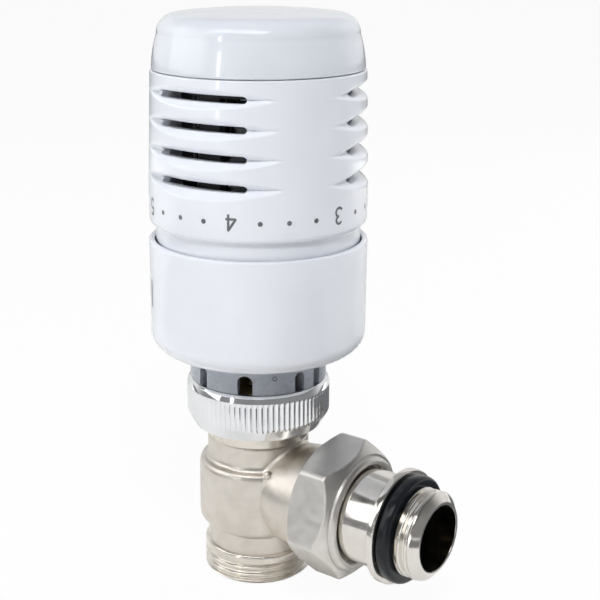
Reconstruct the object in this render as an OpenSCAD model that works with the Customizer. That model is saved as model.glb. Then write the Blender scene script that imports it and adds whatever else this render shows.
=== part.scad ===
// Thermostatic radiator valve set, angle pattern: head, valve body and union tailpiece.
// +Z runs up the spindle and +X out along the union. The origin is the centre of the supply end.
// The handle is drawn at its fully open number, so the valve pin is up.

/* [Connections] */
// Crest radius of the G3/4 threads, on the supply end and under the union nut
g34_r = 13.22; // [12.8:0.01:14]
// Length of the supply thread
supply_thread_l = 7.8; // [6:0.1:10]
// Crest radius of the G1/2 thread that enters the radiator
g12_r = 10.48; // [10.2:0.01:11]
// Length of the G1/2 thread
g12_l = 3.9; // [3:0.1:10]
// Crest radius of the M30 x 1.5 thread that the head's nut screws on
m30_r = 14.95; // [14:0.01:16]
// Length of the M30 thread
m30_l = 6.9; // [5:0.1:9]

/* [Valve body] */
// Height of the outlet axis above the supply end
outlet_h = 22.5; // [21:0.5:28]
// Outer radius round the valve chamber
body_r = 14.5; // [13.5:0.1:18]
// Outer radius of the upper and lower necks
neck_r = 12.4; // [12:0.1:13]
// Outer radius of the branch to the outlet
branch_r = 12.7; // [12:0.1:13]
// Distance from the spindle axis to the end of the outlet thread
outlet_l = 28.3; // [26:0.1:34]
// Radius of the waterway in the outlet
waterway_r = 7.4; // [6:0.1:8]
// Radius of the waterway in the supply end
supply_bore_r = 9.6; // [7:0.1:10]
// Radius of the hole in the valve seat
seat_r = 6; // [4.5:0.1:6.6]
// Travel of the valve pin from open to closed
lift = 3.5; // [2.5:0.1:4.2]

/* [Union] */
// Width across the flats of the union nut
union_af = 30; // [29:0.1:36]
// Length of the union nut
union_nut_l = 12.1; // [11:0.1:15]
// Turn of the union nut's hexagon about its axis
union_clock = 43.8; // [0:0.1:60]
// Outer radius of the tail tube
tail_r = 11.25; // [10:0.05:11.6]
// Bore radius of the tail tube
tail_bore_r = 7.5; // [6:0.1:8]
// Length of the bare tail tube between its shoulder and its flange
tail_l = 10.6; // [8:0.1:20]
// Radius of the flange behind the black O-ring
flange_r = 13.6; // [12.5:0.1:16]
// Thickness of that flange
flange_t = 1.85; // [1.2:0.05:3]
// Thickness of the black O-ring
tail_oring_t = 3.5; // [2.5:0.1:4]

/* [Head] */
// Outer radius of the handle at its foot
handle_r = 25.45; // [24.5:0.05:31]
// How much narrower the handle is at its top
handle_taper = 0.75; // [0:0.05:1.5]
// Height of the handle from its shoulder to the cap's seam
handle_h = 35.1; // [34:0.1:44]
// Wall thickness of the handle
handle_wall = 1.85; // [1.4:0.05:2.2]
// Height of the top cap
cap_h = 13.4; // [10:0.1:18]
// Height of the base collar
collar_h = 27.1; // [24:0.1:34]
// How far the base collar stands out from the handle's foot
collar_step = 0.25; // [0:0.05:1]
// Height of the socket between valve and collar, which the nut grips
socket_h = 11.4; // [10:0.1:14]
// Outer radius of that socket
socket_r = 16.45; // [16.2:0.05:19]
// Outer radius of the knurled nut
nut_r = 17.35; // [17.3:0.05:21]
// Number of ribs on the knurled nut
nut_ribs = 80; // [60:1:90]
// Radius of the sensor cartridge
sensor_r = 14.6; // [12:0.1:14.8]
// Length of the sensor cartridge
sensor_l = 17; // [12:0.1:18]

/* [Grip grooves] */
// Groups of grooves round the handle
groups = 3; // [2:1:4]
// Grooves in each group, one above the other
rows = 4; // [2:1:4]
// Height from one groove to the next
row_pitch = 6.37; // [5.5:0.01:6.6]
// Height of the lowest groove above the handle's shoulder
first_row = 11.8; // [11.6:0.1:13]
// Direction of the first group
first_group = 32.5; // [0:0.5:120]
// Depth of a groove at the middle of its group
groove_depth = 2.8; // [2:0.05:3.2]
// How far behind the spindle axis each groove's arc has its centre
groove_offset = 15; // [10:0.5:20]
// Half height of a groove per unit of depth
groove_slope = 0.75; // [0.6:0.01:0.9]
// Height of the slot through the bottom of a groove
slot_h = 1.7; // [1.2:0.1:2]
// Angle that each slot spans to either side of its group's middle
slot_half = 29; // [15:1:32]

/* [Fits] */
// Running clearance on a radius
run = 0.1; // [0.05:0.01:0.1]
// Clearance where a nut or skirt must pass freely
free = 0.15; // [0.1:0.01:0.3]
// Gap between faces that meet when tightened
seat_gap = 0.2; // [0.1:0.05:0.3]

/* [Hidden] */
$fn = 96;
eps = 0.01;

// Edge breaks, from a fine one on a moulding to the lead of a thread
fine = 0.2;
edge = 0.3;
broad = 0.5;
lead = 0.8;

// Valve body, from the supply end up
foot_z = supply_thread_l + 4.6;
foot_h = 2.6;
waterway_gap = 0.1;
seat_z = outlet_h - waterway_r - waterway_gap;
seat_lip_h = 1;
seat_lip_w = 1.4;
seat_lip_fall = 0.4;
seat_web = 2.4;
seat_funnel = 1.6;
chamber_wall = 3.5;
chamber_r = body_r - chamber_wall;
chamber_z = seat_z - seat_lip_h;
shoulder_z = outlet_h + 4.5;
shoulder_w = 1.3;
shoulder_h = 2.9;
neck_fillet = 1;
neck_top = outlet_h + branch_r + 0.3;
body_thread_r = neck_r - 2.4;
bonnet_z = outlet_h + waterway_r + 0.3;
chamber_roof = 1;

// Outlet with its cone for the union seal
cone_l = 4.1;
cone_mouth_r = g34_r - 2.82;
cone_fall = 0.268;
outlet_thread_l = 7.4;

// Bonnet, gland, pin and disc
bonnet_floor = 1.6;
bonnet_flange_h = 3.9;
thread_tip = 0.6;
ring_z = neck_top + bonnet_flange_h;
ring_top = ring_z + m30_l;
gland_l = 5.7;
gland_r = 6.3;
gland_af = 13;
gland_hex_h = 3.3;
gland_bevel = 1;
gland_bevel_h = 0.6;
cavity_r = gland_r + run;
pin_r = 2;
pin_proud = 0.8;
pin_top = ring_top + gland_hex_h + lift + pin_proud;
pin_collar_r = 5.4;
pin_collar_h = 1.2;
pin_collar_z = ring_top - gland_l - 1 - pin_collar_h;
shank_r = body_thread_r - run;
bonnet_oring_t = 1.3;
bonnet_oring_z = neck_top - 2.3;
stem_oring_t = 1.7;
stem_oring_z = ring_top - 2.9;
seal_gap = 0.05;
disc_r = seat_r + 1.4;
disc_t = 1.9;
disc_z = seat_z + lift + seat_gap;
holder_rim = 0.8;
holder_t = 2.8;
holder_boss_r = 3.6;
boss_gap = 0.6;
disc_proud = 0.5;
holder_z = disc_z + disc_t;
pin_z = holder_z + 0.8;
spring_z = bonnet_z + bonnet_floor;
spring_mid_r = 4.6;
spring_wire = 0.8;
spring_turns = 4;

// Union
union_x = outlet_l - 7.8;
union_lip_t = 2;
union_back_h = 1.3;
union_bevel_l = 3.8;
union_bevel_h = 2.4;
union_groove_h = 0.2;
union_lip_round = 1.1;
union_lip_x = union_x + union_nut_l - union_lip_t;
union_bore_r = g34_r + free + 0.05;
union_hole_r = tail_r + 0.65;
tail_x = outlet_l + seat_gap;
tail_shoulder_r = g34_r - 0.1;
tail_shoulder_t = union_lip_x - seat_gap - tail_x;
nose_l = cone_l - 0.4;
nose_gap = 0.2;
nose_oring_t = 1.5;
nose_oring_in = 1.9;
nose_oring_x = outlet_l - nose_oring_in;
nose_oring_r = cone_mouth_r - nose_oring_in * cone_fall - nose_oring_t / 2 - 0.1;
flange_x = tail_x + tail_shoulder_t + tail_l;
oring_seat_x = flange_x + flange_t;
g12_x = oring_seat_x + tail_oring_t + 0.3;
tail_oring_mid_r = flange_r - 1.1 - tail_oring_t / 2;
tail_nose_r = g12_r - 2.2;
tail_nose_l = 1.4;
tail_end_x = g12_x + g12_l + tail_nose_l;
tail_neck_r = tail_oring_mid_r - tail_oring_t / 2 - 0.05;

// Head, from the valve up
socket_z = ring_top + seat_gap;
socket_wall = 2.85;
collet_foot_h = 2.2;
collet_foot_r = socket_r - 0.15;
collet_groove_h = 2.1;
collet_groove_r = socket_r - 0.85;
collet_neck_r = socket_r - 0.65;
collet_bead_r = socket_r + 0.15;
collet_bead_h = 1.4;
// Windows of the socket as [direction, width in degrees], repeated on the far side
windows = [[-103.5, 9.5], [-62.5, 12.5], [-15.5, 9.5], [5.5, 9.5]];
window_sill = 1.2;
window_head = 2.4;
collar_z = socket_z + socket_h;
collar_r = handle_r + collar_step;
collar_top = collar_z + collar_h;
collar_gap = 0.3;
collar_lip = 0.5;
collar_belly_r = 5.3;
collar_belly_h = 4.75;
collar_cove = 3.4;
floor_t = 2;
sleeve_z = collar_z + floor_t;
sleeve_floor_t = 2;
skirt_step = 1.45;
skirt_r = handle_r - skirt_step;
collar_bore_r = skirt_r + collar_gap;
skirt_wall = 2;
handle_gap = 0.5;
handle_z = collar_top + lift + handle_gap;
skirt_l = 8.5;
skirt_z = handle_z - skirt_l;
sleeve_r = skirt_r - skirt_wall - run;
sleeve_wall = 2;
sleeve_bore_r = sleeve_r - sleeve_wall;
sleeve_top = collar_top + 1.5;
web_rise = 2.3;
web_z = sleeve_z + sleeve_floor_t + web_rise;
web_t = 1.5;
guide_wall = 1.9;
guide_z = sleeve_z + 0.1;
guide_l = 12;
guide_top = guide_z + guide_l;
key_depth = 0.9;
key_half = 6;
key_gap = 0.2;
key_gap_half = 0.7;
key_l = 11;
keys = 3;
key_turn = 30;
nut_z = ring_z - 0.5;
nut_lip_h = 1.7;
nut_top = socket_z + collet_foot_h + seat_gap + nut_lip_h;
nut_rib_h = 0.4;
nut_cone_h = 3.4;
nut_cone_wall = 0.4;
nut_rim = 0.95;
nut_rim_h = 1.3;
// Foot, flank and crest of a rib, as shares of its pitch
rib_shape = [0, 0.3, 0.5, 0.8];

rod_r = 3;
rod_foot_r = 5.5;
rod_foot_h = 1.9;
rod_z = pin_top + seat_gap;
shelf_z = handle_z + 3;
shelf_t = 2;
cage_wall = 1.8;
cage_r = sleeve_bore_r - 0.3;
cage_z = guide_top;
sensor_z = shelf_z + shelf_t;
sensor_nose_r = 5.8;
sensor_nose_l = 6;
sensor_round = 1.5;
rod_gap = 0.2;
post_r = sensor_r + 0.4;
post_t = 2.6;
posts = 6;
post_half = 10;
cup_r = sensor_r - 1.6;
cup_t = 1;
cup_h = 2.6;
cup_rim = 0.8;
cup_hole_r = 5;
over_wire = 1.2;
over_turns = 4;
over_spring_z = sensor_z + sensor_l + cup_t;
seam_z = handle_z + handle_h;
web_gap = seat_gap;
handle_web_t = 1.8;
cap_shelf = 0.4;
handle_web_z = seam_z - cap_shelf - handle_web_t;
cage_ring_t = 2.3;
cage_ring_z = handle_web_z - web_gap - cage_ring_t;
cage_neck_r = sensor_r - 0.7;
cage_neck_bore_r = 8.5;
cage_ring_r = post_r + post_t + 0.6;
clip_depth = 0.8;
clip_gap = 0.2;
clip_w = 3.5;
clip_mouth = 4;
clip_z = handle_web_z + handle_web_t + web_gap;
clip_t = 1;
cage_top = clip_z + clip_t + 0.7;
rod_entry = 4;
rod_top = sensor_z + rod_entry;

handle_top_r = handle_r - handle_taper;
foot_round = 1.2;
foot_l = 10;
bore_z = handle_z + handle_wall;
bore_cove = 0.6;
groove_r = (handle_r + handle_top_r) / 2 + groove_offset - groove_depth;
groove_wall = handle_wall - 0.2;
groove_sweep = 120;
slot_reach = 9;
cap_r = handle_top_r - 0.35;
cap_wall = 1.6;
spigot_r = cap_r - cap_wall - free;
spigot_t = 1.6;
spigot_h = 1.9;
spigot_gap = 0.4;
cap_draft = 1.35;
cap_round = 4.4;
cap_dome = 1.1;

plastic = "white";
nickel = "#c9c4b8";
chrome = "#dfe4ea";
grey = "#a7adb7";
black = "#1c1d20";
brass = "#c8a24c";
steel = "#b8bcc2";

// Points along an arc or a quarter of an ellipse, radii r = [across, up]
function arc(c, r, a0, a1, n = 8) =
    [for (i = [0:n]) let (a = a0 + (a1 - a0) * i / n) [c[0] + r[0] * cos(a), c[1] + r[1] * sin(a)]];

// Solid ring between two radii and two heights
module tube(ro, ri, z0, z1) {
    translate([0, 0, z0])
        difference() {
            cylinder(r = ro, h = z1 - z0);
            translate([0, 0, -eps])
                cylinder(r = ri, h = z1 - z0 + 2 * eps);
        }
}

// Part of a ring, half degrees to either side of the X direction
module ring_sector(ro, ri, z0, z1, half) {
    rotate([0, 0, -half])
        rotate_extrude(angle = 2 * half)
            translate([ri, z0])
                square([ro - ri, z1 - z0]);
}

// Turns a profile of (radius, distance along X) about the outlet axis
module about_outlet(points) {
    translate([0, 0, outlet_h])
        rotate([0, 90, 0])
            rotate_extrude()
                polygon(points);
}

module torus(mid, thick, z) {
    translate([0, 0, z])
        rotate_extrude()
            translate([mid, 0])
                circle(d = thick);
}

module torus_about_outlet(mid, thick, x) {
    translate([x, 0, outlet_h])
        rotate([0, 90, 0])
            torus(mid, thick, 0);
}

// Round-wire compression spring from z0 to z1, with a closed turn at each end
module coil_spring(mid, wire, z0, z1, turns) {
    sides = 8;
    steps = 20;
    last = turns * steps;
    closed = 1.04 * wire;
    open = (z1 - z0 - wire - 2 * closed) / (turns - 2);
    function rise(t) = t < 1 ? t * closed
                     : t < turns - 1 ? closed + (t - 1) * open
                     : closed + (turns - 2) * open + (t - turns + 1) * closed;
    ring = [for (i = [0:last], k = [0:sides - 1])
        let (t = i / steps, a = 360 * t, b = 360 * k / sides, r = mid + wire / 2 * cos(b))
            [r * cos(a), r * sin(a), z0 + wire / 2 + rise(t) + wire / 2 * sin(b)]];
    walls = [for (i = [0:last - 1], k = [0:sides - 1])
        let (m = (k + 1) % sides)
            [i * sides + k, (i + 1) * sides + k, (i + 1) * sides + m, i * sides + m]];
    first_end = [for (k = [0:sides - 1]) k];
    last_end = [for (k = [sides - 1:-1:0]) last * sides + k];
    polyhedron(ring, concat(walls, [first_end, last_end]), convexity = 10);
}

// ---------------------------------------------------------------- valve

module valve_body() {
    outside = concat(
        [[0, 0], [neck_r, 0], [g34_r, lead], [g34_r, supply_thread_l - edge],
         [neck_r + 0.1, supply_thread_l], [neck_r + 0.1, foot_z - fine], [neck_r - 0.1, foot_z]],
        arc([neck_r, foot_z + foot_h], [body_r - neck_r, foot_h], -90, 0),
        arc([body_r - shoulder_w, shoulder_z], [shoulder_w, shoulder_h], 0, 90),
        arc([body_r - shoulder_w, shoulder_z + shoulder_h + neck_fillet],
            [body_r - shoulder_w - neck_r, neck_fillet], -90, -180),
        [[neck_r, neck_top - fine], [neck_r - fine, neck_top], [0, neck_top]]);
    branch = [[0, 0], [branch_r, 0], [branch_r, outlet_l - outlet_thread_l - edge],
              [g34_r, outlet_l - outlet_thread_l], [g34_r, outlet_l - lead],
              [g34_r - lead, outlet_l], [0, outlet_l]];
    inside = [[0, -1], [supply_bore_r, -1], [supply_bore_r, seat_z - seat_web - seat_funnel],
              [seat_r, seat_z - seat_web], [seat_r, seat_z], [seat_r + seat_lip_w, seat_z],
              [seat_r + seat_lip_w + seat_lip_fall, chamber_z], [chamber_r, chamber_z],
              [chamber_r, bonnet_z - 0.4 - chamber_roof], [body_thread_r, bonnet_z - 0.4],
              [body_thread_r, neck_top + 1], [0, neck_top + 1]];
    passage = [[0, 0], [waterway_r, 0], [waterway_r, outlet_l - cone_l - 0.6],
               [cone_mouth_r - cone_l * cone_fall, outlet_l - cone_l],
               [cone_mouth_r, outlet_l], [cone_mouth_r, outlet_l + 1], [0, outlet_l + 1]];
    color(nickel)
        difference() {
            union() {
                rotate_extrude()
                    polygon(outside);
                about_outlet(branch);
            }
            rotate_extrude()
                polygon(inside);
            about_outlet(passage);
        }
}

module bonnet() {
    groove = bonnet_oring_t / 2 + 0.15;
    outside = [[0, bonnet_z], [shank_r - edge, bonnet_z], [shank_r, bonnet_z + edge],
               [shank_r, bonnet_oring_z - groove],
               [shank_r - bonnet_oring_t, bonnet_oring_z - groove],
               [shank_r - bonnet_oring_t, bonnet_oring_z + groove],
               [shank_r, bonnet_oring_z + groove], [shank_r, neck_top],
               [neck_r - fine, neck_top], [neck_r, neck_top + fine], [neck_r, ring_z],
               [m30_r - thread_tip, ring_z], [m30_r, ring_z + thread_tip],
               [m30_r, ring_top - thread_tip], [m30_r - thread_tip, ring_top], [0, ring_top]];
    inside = [[0, bonnet_z - 1], [pin_r + run, bonnet_z - 1], [pin_r + run, spring_z],
              [cavity_r, spring_z], [cavity_r, ring_top + 1], [0, ring_top + 1]];
    color(nickel)
        rotate_extrude()
            difference() {
                polygon(outside);
                polygon(inside);
            }
}

module bonnet_oring() {
    color(black)
        torus(shank_r - bonnet_oring_t / 2 + seal_gap / 2, bonnet_oring_t - seal_gap,
              bonnet_oring_z);
}

module gland_nut() {
    hex_r = gland_af / sqrt(3);
    color(brass)
        difference() {
            union() {
                tube(gland_r, pin_r + run, ring_top - gland_l, ring_top + eps);
                intersection() {
                    translate([0, 0, ring_top])
                        cylinder(r = hex_r, h = gland_hex_h, $fn = 6);
                    translate([0, 0, ring_top])
                        rotate_extrude()
                            polygon([[0, 0], [hex_r, 0], [hex_r, gland_hex_h - gland_bevel_h],
                                     [hex_r - gland_bevel, gland_hex_h], [0, gland_hex_h]]);
                }
            }
            translate([0, 0, ring_top - eps])
                cylinder(r = pin_r + run, h = gland_hex_h + 1);
            tube(pin_r + stem_oring_t + 0.2, pin_r, stem_oring_z - 0.9, stem_oring_z + 0.9);
        }
}

module stem_oring() {
    color(black)
        torus(pin_r + 0.1 + stem_oring_t / 2, stem_oring_t, stem_oring_z);
}

module valve_pin() {
    color(steel)
        rotate_extrude()
            polygon([[0, pin_z], [pin_r, pin_z], [pin_r, pin_collar_z],
                     [pin_collar_r, pin_collar_z], [pin_collar_r, pin_collar_z + pin_collar_h],
                     [pin_r, pin_collar_z + pin_collar_h], [pin_r, pin_top - broad],
                     [pin_r - broad, pin_top], [0, pin_top]]);
}

module return_spring() {
    color(steel)
        coil_spring(spring_mid_r, spring_wire, spring_z + seal_gap, pin_collar_z - seal_gap,
                    spring_turns);
}

module disc_holder() {
    color(brass)
        rotate_extrude()
            difference() {
                polygon([[0, disc_z + disc_proud], [disc_r + holder_rim, disc_z + disc_proud],
                         [disc_r + holder_rim, holder_z + holder_t - broad],
                         [disc_r + holder_rim - broad, holder_z + holder_t],
                         [holder_boss_r, holder_z + holder_t],
                         [holder_boss_r, bonnet_z - boss_gap], [0, bonnet_z - boss_gap]]);
                polygon([[0, disc_z], [disc_r, disc_z], [disc_r, holder_z], [0, holder_z]]);
                polygon([[0, pin_z], [pin_r, pin_z], [pin_r, bonnet_z], [0, bonnet_z]]);
            }
}

module disc_seal() {
    color(black)
        rotate_extrude()
            polygon([[0, disc_z], [disc_r - edge, disc_z], [disc_r, disc_z + edge],
                     [disc_r, holder_z], [0, holder_z]]);
}

// ---------------------------------------------------------------- union

module union_nut() {
    corner_r = union_af / sqrt(3);
    flat_r = union_af / 2;
    end = union_x + union_nut_l;
    groove_out = flat_r - 0.9;
    groove_in = groove_out - 0.5;
    lip_mid = union_hole_r + 0.5;
    front = concat(
        [[corner_r - fine, end - union_bevel_l], [groove_out, end - union_bevel_l + union_bevel_h],
         [groove_in, end - union_bevel_l + union_bevel_h - union_groove_h]],
        arc([lip_mid, end - union_lip_round], [groove_in - lip_mid, union_lip_round], 0, 90, 6),
        [[0, end]]);
    color(nickel)
        difference() {
            intersection() {
                translate([union_x, 0, outlet_h])
                    rotate([0, 90, 0])
                        rotate([0, 0, union_clock])
                            cylinder(r = corner_r, h = union_nut_l, $fn = 6);
                about_outlet(concat(
                    [[0, union_x], [flat_r + fine, union_x],
                     [corner_r - fine, union_x + union_back_h]],
                    front));
            }
            about_outlet([[0, union_x - 1], [union_bore_r, union_x - 1],
                          [union_bore_r, union_lip_x], [union_hole_r, union_lip_x],
                          [union_hole_r, end + 1], [0, end + 1]]);
        }
}

// Radius of the tailpiece's cone at a distance along the outlet, clear of the body's cone
function nose_radius(x) = cone_mouth_r - nose_gap - (outlet_l - x) * cone_fall;

module tailpiece() {
    groove = nose_oring_t / 2 + 0.1;
    nose_x = outlet_l - nose_l;
    color(nickel)
        translate([0, 0, outlet_h])
            rotate([0, 90, 0])
                rotate_extrude()
                    difference() {
                        polygon([[0, nose_x], [nose_radius(nose_x) - edge, nose_x],
                                 [nose_radius(nose_x + edge), nose_x + edge],
                                 [nose_radius(nose_oring_x - groove), nose_oring_x - groove],
                                 [nose_oring_r - groove, nose_oring_x - groove],
                                 [nose_oring_r - groove, nose_oring_x + groove],
                                 [nose_radius(nose_oring_x + groove), nose_oring_x + groove],
                                 [nose_radius(outlet_l), outlet_l], [nose_radius(outlet_l), tail_x],
                                 [tail_shoulder_r, tail_x],
                                 [tail_shoulder_r, tail_x + tail_shoulder_t],
                                 [tail_r, tail_x + tail_shoulder_t], [tail_r, flange_x - broad],
                                 [tail_r + broad, flange_x], [flange_r - edge, flange_x],
                                 [flange_r, flange_x + edge], [flange_r, oring_seat_x - edge],
                                 [flange_r - edge, oring_seat_x],
                                 [tail_neck_r, oring_seat_x], [tail_neck_r, g12_x - edge],
                                 [g12_r - edge, g12_x - edge], [g12_r, g12_x],
                                 [g12_r, g12_x + g12_l], [g12_r - lead, g12_x + g12_l + fine],
                                 [tail_nose_r, tail_end_x], [0, tail_end_x]]);
                        polygon([[0, nose_x - 1], [tail_bore_r, nose_x - 1],
                                 [tail_bore_r, tail_end_x + 1], [0, tail_end_x + 1]]);
                    }
}

module union_seal() {
    color(black)
        torus_about_outlet(nose_oring_r, nose_oring_t, nose_oring_x);
}

module tailpiece_oring() {
    color(black)
        torus_about_outlet(tail_oring_mid_r, tail_oring_t, oring_seat_x + tail_oring_t / 2 + seal_gap);
}

// ---------------------------------------------------------------- head: fixed part

module coupling_nut() {
    root_r = nut_r - nut_rib_h;
    rim_r = nut_r - nut_rim;
    ribs_top = nut_top - nut_rim_h;
    ribs_z = nut_z + nut_cone_h;
    knurl = [for (i = [0:nut_ribs - 1], k = [0:3])
        let (a = 360 / nut_ribs * (i + rib_shape[k]), r = k < 2 ? root_r : nut_r)
            [r * cos(a), r * sin(a)]];
    color(chrome)
        difference() {
            union() {
                translate([0, 0, ribs_z])
                    linear_extrude(ribs_top - ribs_z)
                        polygon(knurl);
                rotate_extrude()
                    polygon([[0, nut_z], [m30_r + free + nut_cone_wall, nut_z], [root_r, ribs_z],
                             [root_r, ribs_top], [rim_r + fine, nut_top - edge],
                             [rim_r, nut_top], [0, nut_top]]);
            }
            rotate_extrude()
                polygon([[0, nut_z - 1], [m30_r + free, nut_z - 1], [m30_r + free, ring_top],
                         [collet_foot_r + free, ring_top],
                         [collet_foot_r + free, nut_top - nut_lip_h],
                         [collet_groove_r + free, nut_top - nut_lip_h],
                         [collet_groove_r + free, nut_top + 1], [0, nut_top + 1]]);
        }
}

module collet() {
    bore_r = socket_r - socket_wall;
    groove_z = socket_z + collet_foot_h;
    shoulder = groove_z + collet_groove_h;
    neck_z = collar_z - seal_gap;
    bead_z = sleeve_z + sleeve_floor_t + seal_gap;
    window_z = groove_z + window_sill;
    window_top = collar_z - window_head;
    color(grey)
        difference() {
            rotate_extrude()
                polygon([[bore_r, socket_z], [collet_foot_r, socket_z],
                         [collet_foot_r, groove_z], [collet_groove_r, groove_z],
                         [collet_groove_r, shoulder], [socket_r, shoulder],
                         [socket_r, neck_z], [collet_neck_r, neck_z], [collet_neck_r, bead_z],
                         [collet_bead_r, bead_z], [collet_bead_r, bead_z + broad],
                         [collet_neck_r - fine, bead_z + collet_bead_h],
                         [bore_r, bead_z + collet_bead_h]]);
            for (w = windows, turn = [0, 180]) {
                half = socket_r * sin(w[1] / 2);
                rotate([0, 0, w[0] + turn])
                    rotate([90, 0, 90])
                        translate([0, 0, bore_r - 2])
                            linear_extrude(socket_wall + 4)
                                union() {
                                    translate([-half, window_z])
                                        square([2 * half, window_top - half - window_z]);
                                    translate([0, window_top - half])
                                        circle(r = half);
                                }
            }
        }
}

module base_collar() {
    hole_r = collet_neck_r + free;
    color(plastic)
        rotate_extrude()
            difference() {
                polygon(concat(
                    [[hole_r, collar_z]],
                    arc([collar_r - collar_belly_r, collar_z + collar_belly_h],
                        [collar_belly_r, collar_belly_h], -90, 0, 10),
                    arc([collar_r - collar_lip, collar_top - collar_lip], [collar_lip, collar_lip],
                        0, 90, 4),
                    [[collar_bore_r + fine, collar_top], [collar_bore_r, collar_top - fine],
                     [hole_r, collar_top - fine]]));
                polygon([[0, sleeve_z], [collar_bore_r - collar_cove, sleeve_z],
                         [collar_bore_r, sleeve_z + collar_cove],
                         [collar_bore_r, collar_top + 1], [0, collar_top + 1]]);
            }
}

module thread_sleeve() {
    hole_r = collet_neck_r + free;
    outer_r = min(sleeve_r, collar_bore_r - collar_cove);
    color(plastic)
        difference() {
            rotate_extrude()
                polygon([[hole_r, sleeve_z], [outer_r, sleeve_z],
                         [sleeve_r, sleeve_z + sleeve_r - outer_r + 0.4], [sleeve_r, sleeve_top],
                         [sleeve_bore_r, sleeve_top], [sleeve_bore_r, web_z + web_t],
                         [rod_r + run + guide_wall, web_z + web_t],
                         [rod_r + run + guide_wall, guide_top], [rod_r + run, guide_top],
                         [rod_r + run, guide_z], [rod_r + run + guide_wall, guide_z],
                         [rod_r + run + guide_wall, web_z], [sleeve_bore_r, web_z],
                         [sleeve_bore_r, sleeve_z + sleeve_floor_t],
                         [hole_r, sleeve_z + sleeve_floor_t]]);
            for (i = [0:keys - 1])
                rotate([0, 0, key_turn + 360 / keys * i])
                    ring_sector(sleeve_bore_r + key_depth + key_gap, sleeve_bore_r - broad,
                                web_z + web_t + broad, sleeve_top + 1, key_half + key_gap_half);
        }
}

// ---------------------------------------------------------------- head: sliding part

module push_rod() {
    color(brass)
        rotate_extrude()
            polygon([[0, rod_z], [rod_foot_r - edge, rod_z], [rod_foot_r, rod_z + edge],
                     [rod_foot_r, rod_z + rod_foot_h], [rod_r, rod_z + rod_foot_h],
                     [rod_r, rod_top - edge], [rod_r - edge, rod_top], [0, rod_top]]);
}

module sensor_cage() {
    color(plastic)
        union() {
            rotate_extrude()
                polygon([[cage_r - cage_wall, cage_z], [cage_r, cage_z], [cage_r, shelf_z + shelf_t],
                         [sensor_nose_r + 0.6, shelf_z + shelf_t], [sensor_nose_r + 0.6, shelf_z],
                         [cage_r - cage_wall, shelf_z]]);
            for (i = [0:keys - 1])
                rotate([0, 0, key_turn + 360 / keys * i])
                    ring_sector(sleeve_bore_r + key_depth, cage_r - broad, cage_z, cage_z + key_l,
                                key_half);
            for (i = [0:posts - 1])
                rotate([0, 0, key_turn + 360 / posts * i])
                    ring_sector(post_r + post_t, post_r, shelf_z + shelf_t - broad,
                                cage_ring_z + broad, post_half);
            rotate_extrude()
                polygon([[cage_neck_bore_r, cage_ring_z], [cage_ring_r, cage_ring_z],
                         [cage_ring_r, cage_ring_z + cage_ring_t],
                         [cage_neck_r, cage_ring_z + cage_ring_t], [cage_neck_r, clip_z],
                         [cage_neck_r - clip_depth, clip_z],
                         [cage_neck_r - clip_depth, clip_z + clip_t],
                         [cage_neck_r, clip_z + clip_t], [cage_neck_r - edge, cage_top],
                         [cage_neck_bore_r, cage_top]]);
        }
}

module sensor_cartridge() {
    bore_r = rod_r + rod_gap;
    nose_z = sensor_z - sensor_nose_l;
    round_r = sensor_r - sensor_round;
    rounding = [sensor_round, sensor_round];
    color(steel)
        rotate_extrude()
            polygon(concat(
                [[bore_r, nose_z], [sensor_nose_r - broad, nose_z],
                 [sensor_nose_r, nose_z + broad], [sensor_nose_r, sensor_z]],
                arc([round_r, sensor_z + sensor_round], rounding, -90, 0, 5),
                arc([round_r, sensor_z + sensor_l - sensor_round], rounding, 0, 90, 5),
                [[0, sensor_z + sensor_l], [0, rod_top + seat_gap], [bore_r, rod_top + seat_gap]]));
}

module spring_cup() {
    cup_z = sensor_z + sensor_l;
    color(steel)
        rotate_extrude()
            polygon([[cup_hole_r, cup_z], [cup_r, cup_z], [cup_r, cup_z + cup_h],
                     [cup_r - cup_rim, cup_z + cup_h], [cup_r - cup_rim, cup_z + cup_t],
                     [cup_hole_r, cup_z + cup_t]]);
}

module overtravel_spring() {
    color(steel)
        coil_spring(cup_r - cup_rim - 0.6 - over_wire / 2, over_wire, over_spring_z + seal_gap,
                    cage_ring_z - seal_gap, over_turns);
}

// ---------------------------------------------------------------- head: turning part

module retaining_ring() {
    inner = cage_neck_r - clip_depth + clip_gap;
    color(steel)
        difference() {
            tube(inner + clip_w, inner, clip_z + seal_gap, clip_z + clip_t - seal_gap);
            translate([inner - 1, -clip_mouth / 2, clip_z - 1])
                cube([clip_w + 2, clip_mouth, clip_t + 2]);
        }
}

// V-shaped groove or the back of its wall, cut along an arc centred behind the spindle
module groove(bottom_r) {
    reach = groove_depth + handle_taper / 2 + 0.85;
    translate([-groove_offset, 0, 0])
        rotate([0, 0, -groove_sweep / 2])
            rotate_extrude(angle = groove_sweep)
                polygon([[bottom_r, 0], [bottom_r + reach, -groove_slope * reach],
                         [bottom_r + reach, groove_slope * reach]]);
}

// Slot through the bottom of a groove, with round ends a hair lower than its flat faces
module slot() {
    inner = handle_r - slot_reach;
    outer = handle_r + 2;
    end = slot_half - asin(slot_h / 2 / (handle_r - groove_depth));
    ring_sector(outer, inner, -slot_h / 2, slot_h / 2, end);
    for (side = [-1, 1])
        rotate([0, 0, side * end])
            translate([inner, 0, 0])
                rotate([0, 90, 0])
                    cylinder(r = slot_h / 2 - 0.03, h = outer - inner, $fn = 24);
}

// Puts a child in the place of every groove
module each_groove() {
    for (g = [0:groups - 1], row = [0:rows - 1])
        rotate([0, 0, first_group + 360 / groups * g])
            translate([0, 0, handle_z + first_row + row_pitch * row])
                children();
}

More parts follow.
